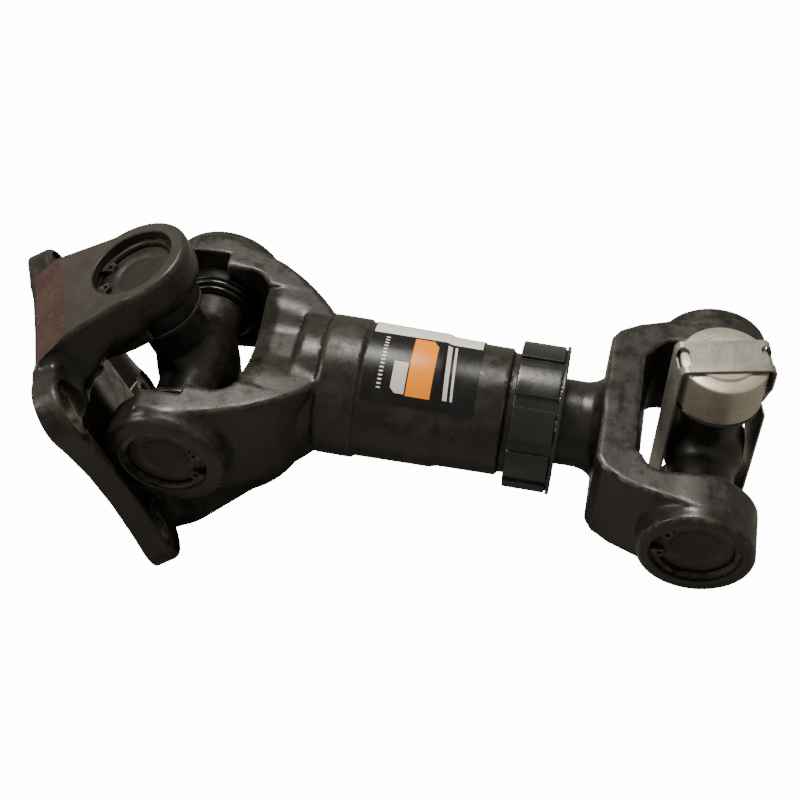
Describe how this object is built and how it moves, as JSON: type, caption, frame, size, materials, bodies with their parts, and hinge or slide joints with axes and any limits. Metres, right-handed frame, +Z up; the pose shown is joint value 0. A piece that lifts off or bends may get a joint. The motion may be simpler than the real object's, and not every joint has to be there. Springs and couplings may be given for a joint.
{
  "type": "universal joint shaft",
  "caption": "Short slip shaft with a cross joint at each end: a bolt-on flange yoke, a splined sleeve and stub yoke with a dust cap, and a strap round the loose bearing cups.",
  "frame": {"origin": "on the ground, under the middle of the bounding box", "axes": "+X along the shaft from the flange yoke to the stub yoke, seen from above; +Z up, as the assembly lies on the ground; +Y away from the side with the label's lower edge"},
  "size_m": [0.317, 0.1356, 0.1314],
  "materials": {
    "casting": "worn black paint over forged steel",
    "machined": "ground or machined steel",
    "loose_cup": "bare steel with rust stains",
    "strap_steel": "bright rolled strip",
    "spring_steel": "blackened spring steel",
    "seal_rubber": "black rubber",
    "black_plastic": "semi-gloss black plastic",
    "label_film": "printed black film"
  },
  "bodies": {
    "sleeve_yoke": {"sleeve_yoke": "casting", "sleeve_plug": "machined", "dust_cap": "black_plastic", "dust_cap_seal": "seal_rubber", "tube_label": "label_film", "sleeve_cup_front": "machined", "sleeve_seal_front": "seal_rubber", "sleeve_snap_ring_front": "spring_steel", "sleeve_cup_rear": "machined", "sleeve_seal_rear": "seal_rubber", "sleeve_snap_ring_rear": "spring_steel"},
    "front_cross": {"front_cross": "casting"},
    "flange_yoke": {"flange_yoke": "casting", "flange_cup_upper": "machined", "flange_seal_upper": "seal_rubber", "flange_snap_ring_upper": "spring_steel", "flange_cup_lower": "machined", "flange_seal_lower": "seal_rubber", "flange_snap_ring_lower": "spring_steel"},
    "stub_yoke": {"stub_yoke": "casting", "stub_cup_front": "machined", "stub_seal_front": "seal_rubber", "stub_snap_ring_front": "spring_steel", "stub_cup_rear": "machined", "stub_seal_rear": "seal_rubber", "stub_snap_ring_rear": "spring_steel"},
    "end_cross": {"end_cross": "casting"},
    "loose_cups_and_strap": {"loose_cup_upper": "loose_cup", "loose_seal_upper": "seal_rubber", "loose_cup_lower": "loose_cup", "loose_seal_lower": "seal_rubber", "transport_strap": "strap_steel"},
    "sleeve_needles": {"sleeve_needles_front": "machined", "sleeve_needles_rear": "machined"},
    "flange_needles": {"flange_needles_upper": "machined", "flange_needles_lower": "machined"},
    "stub_needles": {"stub_needles_front": "machined", "stub_needles_rear": "machined"},
    "loose_needles": {"loose_needles_upper": "machined", "loose_needles_lower": "machined"}
  },
  "joints": [
    {"name": "front_cross_fold", "type": "hinge", "parent": "sleeve_yoke", "child": "front_cross", "pos_m": [-0.07848, 0.00819, 0.06799], "axis": [0.0092, 0.988, 0.154], "range_deg": [-0.6, 50.4]},
    {"name": "flange_yoke_swing", "type": "hinge", "parent": "front_cross", "child": "flange_yoke", "pos_m": [-0.07848, 0.00819, 0.06799], "axis": [-0.3666, -0.1399, 0.9198], "range_deg": [-48.6, 2.4]},
    {"name": "spline_slide", "type": "slide", "parent": "sleeve_yoke", "child": "stub_yoke", "axis": [0.9982, 0, -0.0599], "range_m": [-0.01, 0.025]},
    {"name": "end_cross_fold", "type": "hinge", "parent": "stub_yoke", "child": "end_cross", "pos_m": [0.13484, 0.00819, 0.05519], "axis": [0.0092, 0.988, 0.154], "range_deg": [-17, 19]},
    {"name": "loose_cups_swing", "type": "hinge", "parent": "end_cross", "child": "loose_cups_and_strap", "pos_m": [0.13484, 0.00819, 0.05519], "axis": [0.0418, -0.1542, 0.9872], "range_deg": [-36.5, 10.5]},
    {"name": "sleeve_needles_roll", "type": "hinge", "parent": "sleeve_yoke", "child": "sleeve_needles", "pos_m": [-0.07848, 0.00819, 0.06799], "axis": [0.0092, 0.988, 0.154], "range_deg": [-0.4, 22]},
    {"name": "flange_needles_roll", "type": "hinge", "parent": "front_cross", "child": "flange_needles", "pos_m": [-0.07848, 0.00819, 0.06799], "axis": [-0.3666, -0.1399, 0.9198], "range_deg": [-27.6, 1.5]},
    {"name": "stub_needles_roll", "type": "hinge", "parent": "stub_yoke", "child": "stub_needles", "pos_m": [0.13484, 0.00819, 0.05519], "axis": [0.0092, 0.988, 0.154], "range_deg": [-7.5, 8.4]},
    {"name": "loose_needles_roll", "type": "hinge", "parent": "end_cross", "child": "loose_needles", "pos_m": [0.13484, 0.00819, 0.05519], "axis": [0.0418, -0.1542, 0.9872], "range_deg": [-20.7, 6]}
  ],
  "couplings": [
    {"joint": "sleeve_needles_roll", "follows": "front_cross_fold", "ratio": 0.43462},
    {"joint": "flange_needles_roll", "follows": "flange_yoke_swing", "ratio": 0.56538},
    {"joint": "stub_needles_roll", "follows": "end_cross_fold", "ratio": 0.43462},
    {"joint": "loose_needles_roll", "follows": "loose_cups_swing", "ratio": 0.56538}
  ]
}
